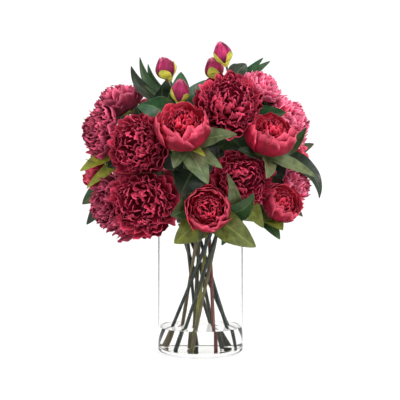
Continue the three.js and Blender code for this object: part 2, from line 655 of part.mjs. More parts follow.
function makeFlowers(group) {
  const trunks = STEMS.map(trunkLine);
  const heads = planHeads(trunks);
  const taken = []; // what a leaf keeps clear of
  for (const head of heads) {
    const isBud = head.kind === "bud";
    head.solid = isBud ? budSolid(head) : bloomSolid(head);
    taken.push({ solid: isBud ? budSolid(head, 2 * GAP) : bloomSpace(head) });
  }
  heads.forEach((one, i) => {
    for (const other of heads.slice(i + 1))
      if (near(one.solid, other.solid) && !one.solid.intersect(other.solid).isEmpty()) part(one, other);
  });
  const stems = STEMS.map(({ name }, index) => {
    const own = heads.filter((head) => head.stem === name);
    const pieces = [solidOf(rod(trunks[index], STEM_RADIUS, STEM_SIDES))];
    for (const head of own) {
      pieces.push(solidOf(rod(head.branch, BRANCH_RADIUS, BRANCH_SIDES)), calyx(head));
      taken.push({ stem: name, solid: solidOf(rod(head.branch, BRANCH_RADIUS + GAP, BRANCH_SIDES)) });
    }
    return { name, solid: joined(pieces) };
  });
  const random = seeded(7);
  for (const leaf of LEAVES) {
    const head = heads.find((candidate) => candidate.name === leaf.on);
    const stem = stems.find((candidate) => candidate.name === head.stem);
    const root = head.branch.getPoint(leaf.along);
    const wave = spread(LEAF_WAVES, random());
    let solid = solidOf(leafGeometry(root, leaf, head, wave));
    for (const other of taken)
      if (other.stem !== head.stem && near(solid, other.solid)) solid = solid.subtract(other.solid);
    stem.solid = largest(stem.solid.add(solid));
    taken.push({ stem: head.stem, solid: solidOf(leafGeometry(root, leaf, head, wave, GAP)) });
  }
  group.add(makeWater(trunks));
  for (const { name, solid } of stems) group.add(meshOf("stem_" + name, solid, "stem"));
  for (const { name, kind, solid } of heads) group.add(meshOf(name, solid, kind));
}

const peonies = new THREE.Group();
peonies.add(makeVase());
makeFlowers(peonies);

export default peonies;
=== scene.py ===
"""Peonies in a vase: ruffled and cup-shaped crimson blooms, closed buds and pointed leaves on forked
stems that cross inside a clear glass cylinder with a little water. Sizes and places are in millimetres,
and MM turns them to metres. The front is -Y."""
import math

import bpy
import numpy as np
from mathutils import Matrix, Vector


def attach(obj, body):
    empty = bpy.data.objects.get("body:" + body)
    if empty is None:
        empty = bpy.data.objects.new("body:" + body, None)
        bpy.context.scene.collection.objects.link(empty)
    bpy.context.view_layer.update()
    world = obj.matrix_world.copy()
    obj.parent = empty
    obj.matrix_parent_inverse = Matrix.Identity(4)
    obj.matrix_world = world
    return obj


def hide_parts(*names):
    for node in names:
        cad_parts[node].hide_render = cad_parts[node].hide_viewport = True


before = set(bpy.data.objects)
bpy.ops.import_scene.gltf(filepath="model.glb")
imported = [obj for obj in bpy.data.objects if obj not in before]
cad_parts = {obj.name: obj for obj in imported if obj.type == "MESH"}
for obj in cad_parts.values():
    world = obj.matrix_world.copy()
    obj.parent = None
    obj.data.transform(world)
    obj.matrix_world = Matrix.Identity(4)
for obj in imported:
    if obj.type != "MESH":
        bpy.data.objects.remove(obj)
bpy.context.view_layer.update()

MM = 0.001

# Driving dimensions, the same as the solids'
VASE_RADIUS = 80
VASE_HEIGHT = 250
VASE_WALL = 3
VASE_FLOOR = 8
VASE_CORNER = 9
VASE_INNER_CORNER = 6
WATER_LEVEL = 49
GAP = 0.35
STEM_RADIUS = 3.6
BRANCH_RADIUS = 2.3
FORK_HEIGHT = 296
FORK_START = 0.985
BRANCH_BEND = 0.38
CALYX_HEIGHT = 7
CALYX_RADIUS = 8
BUD_LENGTH = 42
BLOOM_DEPTH = 0.58
LEAF_ARCH = 0.16
LEAF_ARCH_AROUND = 0.32
LEAF_FOLD = 0.3
BOUQUET_HEART = (0, 0, 300)

# What the finer shapes add to them: LEAN is how many times as far every stem leans as its slope says, and
# STEM_SLIMNESS keeps a stem that swells and thins within its radius.
LEAN = 1.1
STEM_SLIMNESS = 0.94
SMALL_BLOOM = 41
SMALL_BLOOM_SHARE = 0.72
SQUEEZE_DEPTH = 0.07
BLOOM_SEPALS = 5
BUD_SEPAL_TOPS = (0.62, 0.42, 0.5, 0.36)
SEPAL_TURN = 2.1

# Thickness of the fine sheets
PETAL_THICKNESS = 0.35
LEAF_THICKNESS = 0.6
SEPAL_THICKNESS = 0.6

# How finely the meshes are drawn. An edge sharper than SHARP_ANGLE isn't smoothed, and the vase and the
# water are closed at their axis by a flat spot, AXIS in radius.
BROAD_GRID = (10, 17)
LEAF_ROWS = 22
LEAF_COLUMNS = (-1, -0.82, -0.6, -0.38, -0.18, -0.06, 0, 0.06, 0.18, 0.38, 0.6, 0.82, 1)
VASE_SIDES = 128
AXIS = 0.02
SHARP_ANGLE = 62

# Every head and stem has random draws of its own, seeded from these numbers on.
BLOOM_SEED = 100
BUD_SEED = 300
STEM_SEED = 500

# The places of the leaf's and the sepal's material after the stem's, which is 0
LEAF = 1
SEPAL = 2

# How much the vase and the water bend light. The vase's edges stay pale because it bends less than glass.
VASE_INDEX = 1.13
WATER_INDEX = 1.33
WATER_TINT = (0.975, 0.965, 0.94, 1)

# The camera stands level with the middle of the bouquet and looks a little down.
CAMERA_DISTANCE = 2500
CAMERA_HEIGHT = 414
CAMERA_SIDE = -0.9
CAMERA_PITCH = 2.87
CAMERA_LENS = 119.5
CAMERA_SENSOR = 36

# The stems, named by where their heads are: ring, waist bearing, slope, crossing height and tone. Each
# is straight up to its fork and is nearest to the vase's axis, its ring's radius away, where it crosses.
OUTER_RING = 20
INNER_RING = 6
STEMS = {
    "left_high": (INNER_RING, 80, 0.19, 156, 0.3),
    "left": (OUTER_RING, 87, 0.4, 164, 0.0),
    "left_low": (OUTER_RING, 127, 0.34, 152, 0.35),
    "front_left": (OUTER_RING, 167, 0.38, 160, 0.15),
    "front": (OUTER_RING, 207, 0.33, 150, 0.62),
    "front_high": (INNER_RING, 200, 0.15, 156, 0.5),
    "front_right": (OUTER_RING, 247, 0.4, 160, 0.05),
    "right_low": (OUTER_RING, 287, 0.32, 150, 0.1),
    "right_high": (INNER_RING, 320, 0.17, 156, 1.0),
    "right_back": (OUTER_RING, 327, 0.38, 160, 0.55),
    "back_right": (OUTER_RING, 7, 0.34, 152, 0.85),
    "back_left": (OUTER_RING, 47, 0.39, 164, 0.1),
}

# Blooms: name, stem, middle, radius, the way it faces and its colour
RUFFLED_BLOOMS = [
    ("left_high", "left_high", (-163, 36, 472), 51, (-0.6, 0.1, 0.75), "dusky"),
    ("left", "left", (-191, -28, 418), 47, (-0.9, -0.35, 0.15), "dusky"),
    ("front_left", "front_left", (-113, -116, 392), 54, (-0.4, -0.9, 0.1), "crimson"),
    ("left_low_front", "left_low", (-106, -114, 288), 59, (-0.3, -0.93, -0.1), "crimson"),
    ("left_low", "left_low", (-169, -26, 275), 57, (-0.86, -0.35, -0.3), "dusky"),
    ("right_high", "front_high", (53, -126, 468), 58, (0.1, -0.86, 0.45), "crimson"),
    ("right_top", "right_high", (114, -34, 503), 40, (0.45, -0.1, 0.85), "pink"),
    ("right", "right_high", (170, -14, 437), 51, (0.87, -0.15, 0.4), "pink"),
    ("front_right_low", "front_right", (77, -118, 328), 54, (0.3, -0.94, 0), "crimson"),
    ("right_low", "right_low", (182, -26, 318), 38, (0.93, -0.3, 0.1), "pink"),
    ("back_left_high", "back_left", (-92, 122, 448), 54, (-0.5, 0.65, 0.55), "crimson"),
    ("back_right_high", "right_back", (104, 118, 436), 54, (0.55, 0.65, 0.5), "dusky"),
    ("back_low", "back_left", (-18, 165, 306), 56, (-0.1, 0.99, -0.05), "crimson"),
    ("back_right_low", "back_right", (100, 140, 318), 53, (0.6, 0.8, 0), "pink"),
    ("top", "back_right", (14, 66, 462), 47, (0.05, 0.35, 0.93), "crimson"),
]
CUP_BLOOMS = [
    ("left_small", "left", (-202, 24, 341), 29, (-0.9, -0.15, 0.3), "red"),
    ("front_high", "front", (-31, -165, 425), 50, (-0.08, -0.66, 0.74), "red"),
    ("front_right", "front_right", (125, -118, 411), 48, (0.2, -0.5, 0.84), "red"),
    ("right_low_small", "right_low", (147, -92, 287), 38, (0.5, -0.65, 0.5), "red"),
    ("right_back_small", "right_back", (190, 42, 363), 31, (0.95, 0.15, 0.25), "red"),
    ("front_low", "front", (13, -150, 280), 42, (0.02, -0.96, 0.26), "red"),
    ("back_high", "back_right", (8, 160, 408), 53, (0, 0.85, 0.5), "red"),
    ("back_left_low", "back_left", (-126, 118, 338), 50, (-0.7, 0.7, 0.1), "red"),
]

# Buds: name, stem, middle, radius and the way it points
BUDS = [
    ("left_high", "left_high", (-66, -20, 537), 19, (-0.35, -0.2, 0.9)),
    ("front_left", "front_left", (-37, -85, 493), 16, (0.05, -0.25, 0.97)),
    ("highest", "front_high", (40, -30, 565), 16, (-0.3, -0.1, 0.95)),
    ("front_high", "front_high", (25, 10, 538), 17, (-0.25, -0.2, 0.95)),
]

# Leaf colours, as places on the leaf material's scale. The first, a near black green, is partly the leaves'
# own deep green and partly painted shade for leaves deep inside the bouquet.
SHADE_DARK, GREEN, TEAL, GREY, OLIVE, YELLOW = 0.0, 0.2, 0.4, 0.6, 0.8, 1.0

# The way a leaf's upper side faces where it stands at the front of the bouquet
FRONT = (0, -0.95, 0.3)
FRONT_LEFT = (-0.5, -0.8, 0.2)
FRONT_RIGHT = (0.4, -0.8, 0.4)


def leaf(on, along, tip, width, tone, around=False, via=None, faces=None):
    """A leaf that grows on a head's branch, a share of the way along it. Its upper side faces away from the
    bouquet's heart, away from its own head where around is true, or as faces says. It arches to that side,
    or towards via."""
    return {"on": on, "along": along, "tip": tip, "width": width, "tone": tone,
            "around": around, "via": via, "faces": faces}


# The broad leaves of the first, near black tone that face the front fill gaps between the blooms: sheets
# that stand in as painted shade.
LEAVES = [
    leaf("bud_left_high", 0.8, (-130, -5, 540), 24, SHADE_DARK, via=(-122, 0, 484), faces=FRONT),
    leaf("bud_left_high", 0.84, (-114, 5, 557), 20, GREEN, via=(-106, 4, 486), faces=FRONT),
    leaf("bud_left_high", 0.88, (-99, 12, 545), 17, TEAL, via=(-92, 10, 488), faces=FRONT),
    leaf("bud_left_high", 0.76, (-62, -54, 514), 46, SHADE_DARK, via=(-88, -48, 470), faces=FRONT),
    leaf("bud_front_left", 0.6, (-114, -92, 464), 56, TEAL, via=(-66, -94, 478), faces=FRONT),
    leaf("bud_front_left", 0.75, (-36, -40, 527), 42, TEAL, faces=FRONT),
    leaf("bud_front_left", 0.7, (8, -56, 493), 40, SHADE_DARK, faces=FRONT),
    leaf("bud_front_high", 0.8, (117, -10, 555), 22, TEAL, faces=FRONT),
    leaf("bud_front_high", 0.84, (131, 10, 550), 22, GREEN, faces=FRONT),
    leaf("bud_highest", 0.88, (85, -5, 544), 34, SHADE_DARK, faces=FRONT),
    leaf("bloom_right_top", 0.75, (156, -75, 452), 44, TEAL, faces=FRONT),
    leaf("bloom_front_right", 0.9, (192, -82, 424), 26, GREEN, via=(168, -61, 375), faces=FRONT_RIGHT),
    leaf("bloom_front_high", 0.92, (64, -168, 412), 38, GREY),
    leaf("bloom_front_high", 0.92, (-47, -170, 353), 28, GREY),
    leaf("bloom_front_high", 0.96, (13, -178, 326), 40, GREY),
    leaf("bloom_front_high", 0.9, (38, -174, 353), 26, GREY),
    leaf("bloom_front_high", 0.55, (-36, -128, 304), 60, SHADE_DARK, faces=FRONT),
    leaf("bloom_front_high", 0.6, (-5, -150, 340), 44, SHADE_DARK, faces=FRONT),
    leaf("bloom_front_low", 0.9, (47, -178, 344), 32, GREY, via=(88, -130, 268)),
    leaf("bloom_front_low", 0.92, (93, -180, 309), 36, GREEN, via=(86, -132, 262)),
    leaf("bloom_front_low", 0.7, (98, -152, 213), 54, OLIVE),
    leaf("bloom_right_low_small", 0.8, (148, -115, 240), 38, OLIVE, faces=FRONT),
    leaf("bloom_right_low_small", 0.6, (144, -96, 222), 34, TEAL, faces=FRONT),
    leaf("bloom_front_right", 0.9, (116, -162, 335), 32, GREY),
    leaf("bloom_front_right", 0.9, (212, -68, 334), 24, GREY, faces=FRONT_RIGHT),
    leaf("bloom_right", 0.75, (219, -58, 295), 34, SHADE_DARK, via=(228, -50, 354), faces=FRONT_RIGHT),
    leaf("bloom_front_right", 0.8, (66, -158, 386), 24, SHADE_DARK),
    leaf("bloom_left_small", 0.75, (-226, 38, 279), 38, GREEN, faces=FRONT_LEFT),
    leaf("bloom_left_small", 0.6, (-218, 38, 240), 38, SHADE_DARK, faces=FRONT_LEFT),
    leaf("bloom_left", 0.7, (-224, -30, 344), 30, YELLOW, faces=FRONT_LEFT),
    leaf("bloom_left", 0.6, (-212, -30, 312), 26, YELLOW, faces=FRONT_LEFT),
    leaf("bloom_left_high", 0.85, (-222, 16, 443), 22, YELLOW, around=True),
    leaf("bloom_left", 0.75, (-214, -30, 366), 26, OLIVE, around=True),
    leaf("bloom_left_high", 0.7, (-146, -66, 444), 48, SHADE_DARK, faces=FRONT),
    leaf("bloom_left_high", 0.6, (-120, -20, 464), 60, SHADE_DARK, faces=FRONT),
    leaf("bloom_left", 0.55, (-172, -44, 352), 58, SHADE_DARK, faces=FRONT),
    leaf("bloom_front_high", 0.62, (-94, -80, 384), 62, SHADE_DARK, faces=FRONT),
    leaf("bloom_right_high", 0.5, (44, -66, 398), 52, SHADE_DARK, faces=FRONT),
    leaf("bloom_right_high", 0.75, (84, -66, 378), 60, GREEN, faces=FRONT),
    leaf("bloom_right", 0.7, (138, 0, 500), 48, SHADE_DARK, faces=FRONT),
    leaf("bloom_right_low", 0.7, (152, -32, 374), 70, SHADE_DARK, faces=FRONT),
    leaf("bloom_front_low", 0.75, (-47, -132, 218), 56, OLIVE),
    leaf("bloom_front_low", 0.6, (-52, -152, 268), 48, GREEN, faces=FRONT),
    leaf("bloom_front_right_low", 0.6, (38, -128, 214), 50, GREEN),
    leaf("bloom_right_low", 0.62, (192, -6, 258), 34, GREEN, faces=FRONT_RIGHT),
    leaf("bloom_right_back_small", 0.6, (218, 56, 394), 34, SHADE_DARK, faces=FRONT_RIGHT),
    leaf("bloom_right_back_small", 0.65, (205, 76, 300), 36, GREEN),
    leaf("bloom_back_right_low", 0.6, (118, 140, 240), 38, OLIVE, around=True),
    leaf("bloom_back_right_low", 0.6, (172, 118, 372), 36, GREEN, around=True),
    leaf("bloom_back_low", 0.6, (44, 178, 250), 38, OLIVE, around=True),
    leaf("bloom_back_low", 0.6, (-62, 172, 242), 38, GREEN, around=True),
    leaf("bloom_back_high", 0.6, (50, 190, 362), 38, TEAL, around=True),
    leaf("bloom_back_high", 0.6, (-52, 186, 372), 38, SHADE_DARK, around=True),
    leaf("bloom_back_left_low", 0.6, (-176, 128, 270), 34, OLIVE, around=True),
    leaf("bloom_back_left_low", 0.6, (-188, 84, 398), 34, GREEN, around=True),
    leaf("bloom_back_left_high", 0.6, (-30, 130, 498), 36, GREEN),
    leaf("bloom_top", 0.7, (70, 58, 506), 36, SHADE_DARK, around=True),
    leaf("bloom_left_low", 0.6, (-158, 52, 252), 34, GREEN, around=True),
    leaf("bloom_top", 0.7, (-44, 44, 500), 32, TEAL, around=True),
    leaf("bloom_right_high", 0.6, (36, -84, 350), 46, SHADE_DARK, faces=FRONT),
    leaf("bloom_front_right_low", 0.5, (112, -138, 246), 42, OLIVE, faces=FRONT),
    leaf("bud_front_left", 0.8, (12, -50, 512), 44, TEAL, faces=FRONT),
    leaf("bloom_front_high", 0.97, (8, -184, 374), 16, YELLOW),
    leaf("bloom_front_low", 0.9, (-5, -156, 221), 18, GREY, via=(6, -126, 242)),
]

# Broad petals in rings, from the outside in. A ring's profile runs from the seat to the lip as [radius,
# height] in the bloom's radii, spread is half the angle that a petal covers, and waves is how many times
# its lip goes in and out. ruffle, notch, fall and flare are how deep the waves and the notches are, how far
# a petal may fall and how far its lip may curl out.
RUFFLED_RINGS = [
    {"count": 7, "profile": [(0.12, 0.0), (0.75, -0.06), (1.14, 0.2), (1.06, 0.58)],
     "spread": 0.56, "ruffle": 0.06, "waves": 2.4, "notch": 0.22, "fall": 0.26, "flare": 0.12},
    {"count": 8, "profile": [(0.14, 0.05), (0.66, 0.08), (1.08, 0.35), (0.98, 0.82)],
     "spread": 0.44, "ruffle": 0.07, "waves": 2.4, "notch": 0.24, "fall": 0.24, "flare": 0.1},
    {"count": 9, "profile": [(0.16, 0.1), (0.55, 0.2), (0.92, 0.5), (0.84, 0.98)],
     "spread": 0.37, "ruffle": 0.08, "waves": 2.4, "notch": 0.26, "fall": 0.2, "flare": 0.08},
]
CUP_RINGS = [
    {"count": 6, "profile": [(0.13, 0.0), (0.9, -0.12), (1.2, 0.52), (0.74, 1.14)],
     "spread": 0.76, "ruffle": 0.035, "waves": 1.8, "notch": 0.13, "fall": 0.18, "flare": 0.1},
    {"count": 5, "profile": [(0.14, 0.04), (0.84, -0.02), (1.12, 0.62), (0.66, 1.2)],
     "spread": 0.78, "ruffle": 0.04, "waves": 2.0, "notch": 0.14, "fall": 0.14, "flare": 0.06},
    {"count": 6, "profile": [(0.15, 0.08), (0.76, 0.06), (0.98, 0.62), (0.58, 1.12)],
     "spread": 0.58, "ruffle": 0.05, "waves": 2.2, "notch": 0.18, "fall": 0.16, "flare": 0.05},
]

# The crowded inner petals lie over a dome and bend in towards its top. middle, wide and high are the
# dome's middle height, half width and half height, edge is the cosine of the angle from its top down to
# the lowest petals, and bend is how far round the dome a petal's tip bends in.
RUFFLED_HEART = {"middle": 0.42, "wide": 0.86, "high": 0.76, "count": 150, "half_width": 0.12,
                 "edge": 0.06, "bend": 0.3, "rows": 6, "columns": 6}
CUP_HEART = {"middle": 0.48, "wide": 0.64, "high": 0.7, "count": 96, "half_width": 0.115, "edge": 0.12,
             "bend": 0.34, "rows": 5, "columns": 6}
GOLDEN_ANGLE = math.pi * (3 - math.sqrt(5))


# Small geometry

UP = np.array([0, 0, 1])


def unit(vectors):
    """Vectors brought to a length of 1."""
    smallest = 1e-9
    vectors = np.asarray(vectors, float)
    return vectors / np.maximum(np.linalg.norm(vectors, axis=-1, keepdims=True), smallest)


def bearings(angle):
    """The level direction at an angle, and the one that is a quarter turn further round."""
    return (np.array([math.cos(angle), math.sin(angle), 0]),
            np.array([-math.sin(angle), math.cos(angle), 0]))


def circle(count):
    """Angles evenly round a circle."""
    return np.linspace(0, math.tau, count, endpoint=False)


def shares(rows, columns):
    """How far along and how far across its petal or sepal each point of a grid lies."""
    return np.linspace(0, 1, rows)[:, None], np.linspace(-1, 1, columns)[None, :]


def bezier(points, share):
    """Points of a Bezier curve, at shares from 0 at its start to 1 at its end."""
    points = [np.asarray(p, float) for p in points]
    share = np.asarray(share, float)[..., None]
    while len(points) > 1:
        points = [a + (b - a) * share for a, b in zip(points, points[1:])]
    return points[0]


def turn_to(face):
    """The rotation that brings +Z to the way a head faces."""
    turn = Vector((0, 0, 1)).rotation_difference(Vector(unit(face)))
    return np.array(turn.to_matrix())


class Shape:
    """Points and faces of one piece. form holds what the materials read at each point: how far along its
    petal, leaf or stem the point lies, how far across, and the tone of that part. back is 1 on the side
    that faces out of a bloom or down from a leaf. materials holds the number of each face's material."""

    def __init__(self):
        self.points = []
        self.faces = []
        self.form = []
        self.back = []
        self.materials = []
        self.count = 0

    def add(self, points, faces, form, back, material=0):
        self.points.append(points)
        self.faces.extend([[corner + self.count for corner in face] for face in faces])
        self.form.append(form)
        self.back.append(back)
        self.materials.extend([material] * len(faces))
        self.count += len(points)

    def move(self, turn, seat):
        """Turns what is drawn about +Z at the origin to the way that a head faces, on its seat."""
        self.points = [np.concatenate(self.points) @ turn.T + seat]

    def sheet(self, grid, thickness, along, across, tone, material=0, first_back=0):
        """A thin closed sheet around a grid of points, whose rows follow each other along it. Seen with
        the rows going up and the columns to the right, it shows the side whose back is first_back."""
        rows, columns = grid.shape[:2]
        other = rows * columns
        normal = unit(np.cross(np.gradient(grid, axis=1), np.gradient(grid, axis=0)))
        near = (grid + normal * thickness / 2).reshape(-1, 3)
        far = (grid - normal * thickness / 2).reshape(-1, 3)
        index = np.arange(other).reshape(rows, columns)
        corners = [index[:-1, :-1], index[:-1, 1:], index[1:, 1:], index[1:, :-1]]
        quads = np.stack(corners, -1).reshape(-1, 4)
        rim = np.concatenate([index[0], index[1:, -1], index[-1, -2::-1], index[-2:0:-1, 0]])
        ahead = np.roll(rim, -1)
        rims = np.stack([ahead, rim, rim + other, ahead + other], -1)
        faces = np.concatenate([quads, quads[:, ::-1] + other, rims]).tolist()
        form = np.stack(np.broadcast_arrays(along, across, tone), -1).reshape(-1, 3)
        back = np.concatenate([np.full(other, first_back), np.full(other, 1 - first_back)])
        self.add(np.concatenate([near, far]), faces, np.concatenate([form, form]), back, material)

    def rings(self, rings, tone):
        """A closed surface through rings of points, with its first and last ring closed flat."""
        count, sides = rings.shape[:2]
        index = np.arange(count * sides).reshape(count, sides)
        ahead = np.roll(index, -1, axis=1)
        quads = np.stack([index[:-1], ahead[:-1], ahead[1:], index[1:]], -1).reshape(-1, 4).tolist()
        faces = quads + [index[0, ::-1].tolist(), index[-1].tolist()]
        along = np.linspace(0, 1, count)[:, None]
        across = np.linspace(0, 1, sides)[None, :]
        form = np.stack(np.broadcast_arrays(along, across, tone), -1).reshape(-1, 3)
        self.add(rings.reshape(-1, 3), faces, form, np.zeros(count * sides))

    def tube(self, path, radii, sides, tone):
        """A round tube along a path. No path starts out in the aslant direction."""
        aslant = (0.31, 0.9, 0.27)
        tangents = unit(np.gradient(path, axis=0))
        side = unit(np.cross(tangents[0], aslant))
        angles = circle(sides)
        rings = []
        for point, tangent, radius in zip(path, tangents, radii):
            side = unit(side - tangent * np.dot(side, tangent))
            other = np.cross(tangent, side)
            around = np.outer(np.cos(angles), side) + np.outer(np.sin(angles), other)
            rings.append(point + radius * around)
        self.rings(np.array(rings), tone)

    def lathe(self, profile, sides, tone):
        """A turned surface about +Z, from [radius, height] points that run up its outside."""
        angles = circle(sides)
        rings = [[(r * math.cos(a), r * math.sin(a), h) for a in angles] for r, h in profile]
        self.rings(np.array(rings, float), tone)


def add_object(name, data):
    """Puts a mesh, a light or a camera into the scene."""
    made = bpy.data.objects.new(name, data)
    bpy.context.scene.collection.objects.link(made)
    return made


def piece(name, shape, materials, node):
    """A mesh object that stands for one node."""
    mesh = bpy.data.meshes.new(name)
    mesh.from_pydata((np.concatenate(shape.points) * MM).tolist(), [], shape.faces)
    for material in materials:
        mesh.materials.append(material)
    mesh.polygons.foreach_set("material_index", shape.materials)
    form = mesh.attributes.new("form", "FLOAT_VECTOR", "POINT")
    form.data.foreach_set("vector", np.concatenate(shape.form).ravel().astype(np.float32))
    back = mesh.attributes.new("back", "FLOAT", "POINT")
    back.data.foreach_set("value", np.concatenate(shape.back).astype(np.float32))
    mesh.shade_smooth()
    mesh.set_sharp_from_angle(angle=math.radians(SHARP_ANGLE))
    mesh.update()
    made = add_object(name, mesh)
    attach(made, "root")
    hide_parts(node)


# Materials

def srgb(red, green, blue):
    """A colour written as 0 to 255 in each channel, as the linear light that shaders take."""
    channels = [channel / 255 for channel in (red, green, blue)]
    linear = [c / 12.92 if c <= 0.04045 else ((c + 0.055) / 1.055) ** 2.4 for c in channels]
    return linear + [1]


class Surface:
    """A material's node tree, with short ways to add nodes to it."""

    def __init__(self, name, **values):
        self.material = bpy.data.materials.new(name)
        self.material.use_nodes = True
        self.tree = self.material.node_tree
        self.shader = self.tree.nodes["Principled BSDF"]
        self.shade(**values)

    def set(self, node, values):
        """Sets a node's inputs, known by name or number, to plain values or to what other nodes give."""
        names = {socket.name.lower(): socket for socket in reversed(node.inputs)}
        for key, value in values.items():
            socket = node.inputs[key] if isinstance(key, int) else names[key]
            if isinstance(value, bpy.types.NodeSocket):
                self.tree.links.new(value, socket)
            else:
                socket.default_value = value

    def shade(self, **values):
        """Sets the shader's own inputs."""
        self.set(self.shader, {key.replace("_", " "): value for key, value in values.items()})

    def node(self, kind, values, **settings):
        made = self.tree.nodes.new("ShaderNode" + kind)
        for key, value in settings.items():
            setattr(made, key, value)
        self.set(made, values)
        return made

    def maths(self, operation, *values):
        return self.node("Math", dict(enumerate(values)), operation=operation).outputs[0]

    def scaled(self, value, low, high, to_low, to_high):
        """A value between low and high, brought to lie between to_low and to_high."""
        values = {"value": value, "from min": low, "from max": high, "to min": to_low, "to max": to_high}
        return self.node("MapRange", values).outputs[0]

    def ranged(self, noise, to_low, to_high):
        """A noise, most of which lies from 0.3 to 0.7, brought to lie between two values."""
        return self.scaled(noise, 0.3, 0.7, to_low, to_high)

    def mix(self, share, first, second):
        """Two colours mixed: a mix node takes them at its inputs 6 and 7 and gives output 2."""
        return self.node("Mix", {0: share, 6: first, 7: second}, data_type="RGBA").outputs[2]

    def ramp(self, share, stops):
        """The colour at a share of the way along a row of [place, colour] stops."""
        made = self.node("ValToRGB", {"fac": share})
        scale = made.color_ramp.elements
        while len(scale) < len(stops):
            scale.new(0.5)
        for element, (place, colour) in zip(scale, stops):
            element.position = place
            element.color = colour
        return made.outputs[0]

    def lit(self, colour, light):
        """A colour made lighter or darker."""
        return self.node("HueSaturation", {"value": light, "color": colour}).outputs[0]

    def form(self):
        """How far along, how far across and the tone, as the mesh holds them."""
        held = self.node("Attribute", {}, attribute_name="form")
        return self.node("SeparateXYZ", {"vector": held.outputs["Vector"]}).outputs

    def back(self):
        return self.node("Attribute", {}, attribute_name="back").outputs["Fac"]

    def noise(self, place, scale, detail):
        return self.node("TexNoise", {"vector": place, "scale": scale, "detail": detail}).outputs["Fac"]

    def clouds(self, scale, detail):
        """Noise that runs evenly through the piece."""
        return self.noise(self.node("TexCoord", {}).outputs["Object"], scale, detail)

    def streaks(self, along, across, tone, rates, scale):
        """Noise drawn out along a petal, leaf or stem. rates is how fast it changes along, across and from
        one tone to the next."""
        rate_along, rate_across, rate_tone = rates
        place = self.node("CombineXYZ", {0: self.maths("MULTIPLY", across, rate_across),
                                         1: self.maths("MULTIPLY", along, rate_along),
                                         2: self.maths("MULTIPLY", tone, rate_tone)})
        return self.noise(place.outputs[0], scale, 3)

    def bump(self, height, strength, depth):
        bumped = self.node("Bump", {"height": height, "strength": strength, "distance": depth * MM})
        self.shade(normal=bumped.outputs[0])


def petal_surface(name, root, body, lip, outside, calyx_end, spread):
    """A petal: darker towards its root, its own colour with painted shade where the petals crowd, and paler
    towards its lip, a painted highlight, with fine streaks along it. calyx_end is the colour of its outer
    side at the root, and spread is how far petals differ in lightness."""
    highlight_from = 0.5
    highlight_power = 2.5
    least_highlight = 0.4
    surface = Surface(name, sheen_weight=0.03, sheen_roughness=0.4, sheen_tint=srgb(255, 150, 175),
                      specular_ior_level=0.15)
    along, across, tone = surface.form()
    streaks = surface.streaks(along, across, tone, rates=(0.8, 5, 31), scale=3.2)
    # Painted shade: the petal grows darker towards its root, where the petals crowd together.
    depth = surface.ramp(along, [(0.0, root), (0.55, body)])
    # Painted highlight: the petal grows paler towards its lip, more on some petals than on others.
    rise = surface.maths("POWER", surface.scaled(along, highlight_from, 1, 0, 1), highlight_power)
    pale = surface.maths("MULTIPLY", rise, surface.scaled(tone, 0, 1, least_highlight, 1))
    inner = surface.mix(pale, depth, lip)
    # The outer side runs from calyx_end at its root to the painted lip highlight at its end.
    outer = surface.ramp(along, [(0.0, calyx_end), (0.45, outside), (0.85, outside), (1.0, lip)])
    light = surface.maths("MULTIPLY", surface.scaled(tone, 0, 1, 1 - spread, 1 + spread),
                          surface.ranged(streaks, 1 - spread, 1 + spread))
    clouds = surface.clouds(scale=60, detail=2)
    light = surface.maths("MULTIPLY", light, surface.scaled(clouds, 0.35, 0.65, 0.7, 1.25))
    surface.shade(base_color=surface.lit(surface.mix(surface.back(), inner, outer), light),
                  roughness=surface.ranged(streaks, 0.5, 0.72))
    surface.bump(streaks, strength=0.6, depth=0.6)
    return surface.material


def leaf_surface():
    """A leaf: a pale rib, slanting side veins, mottled green above and paler below, blushed in places."""
    vein_pairs = 11
    vein_slant = 2.2
    vein_width = 0.09
    side_vein_depth = 0.5
    rib_paleness = 0.16
    under_paleness = 0.45
    surface = Surface("leaf", specular_ior_level=0.3)
    along, across, tone = surface.form()
    aside = surface.maths("ABSOLUTE", across)
    # The first stop, a near black green, is partly the leaves' own colour and partly painted shade for
    # leaves deep inside the bouquet.
    colour = surface.ramp(tone, [(SHADE_DARK, srgb(27, 42, 27)), (GREEN, srgb(46, 75, 38)),
                                 (TEAL, srgb(32, 75, 42)), (GREY, srgb(90, 100, 66)),
                                 (OLIVE, srgb(90, 98, 36)), (YELLOW, srgb(140, 143, 44))])
    pairs = surface.maths("SUBTRACT", surface.maths("MULTIPLY", along, vein_pairs),
                          surface.maths("MULTIPLY", aside, vein_slant))
    between = surface.maths("ABSOLUTE", surface.maths("SUBTRACT", surface.maths("FRACT", pairs), 0.5))
    rib = surface.scaled(aside, 0, vein_width, 1, 0)
    veins = surface.maths("MAXIMUM", surface.scaled(between, 0, vein_width, side_vein_depth, 0), rib)
    mottle = surface.clouds(scale=90, detail=4)
    light = surface.maths("MULTIPLY", surface.ranged(mottle, 0.6, 1.3),
                          surface.scaled(veins, 0, 1, 1, 1.5))
    veined = surface.mix(surface.maths("MULTIPLY", rib, rib_paleness), surface.lit(colour, light),
                         srgb(150, 170, 110))
    under = surface.mix(surface.maths("MULTIPLY", surface.back(), under_paleness), veined,
                        srgb(128, 142, 96))
    blush = surface.scaled(surface.clouds(scale=22, detail=2), 0.56, 0.72, 0, 0.5)
    surface.shade(base_color=surface.mix(blush, under, srgb(96, 70, 46)),
                  roughness=surface.ranged(mottle, 0.3, 0.55))
    relief = surface.maths("SUBTRACT", surface.maths("MULTIPLY", mottle, 0.3), veins)
    surface.bump(relief, strength=0.5, depth=0.5)
    return surface.material


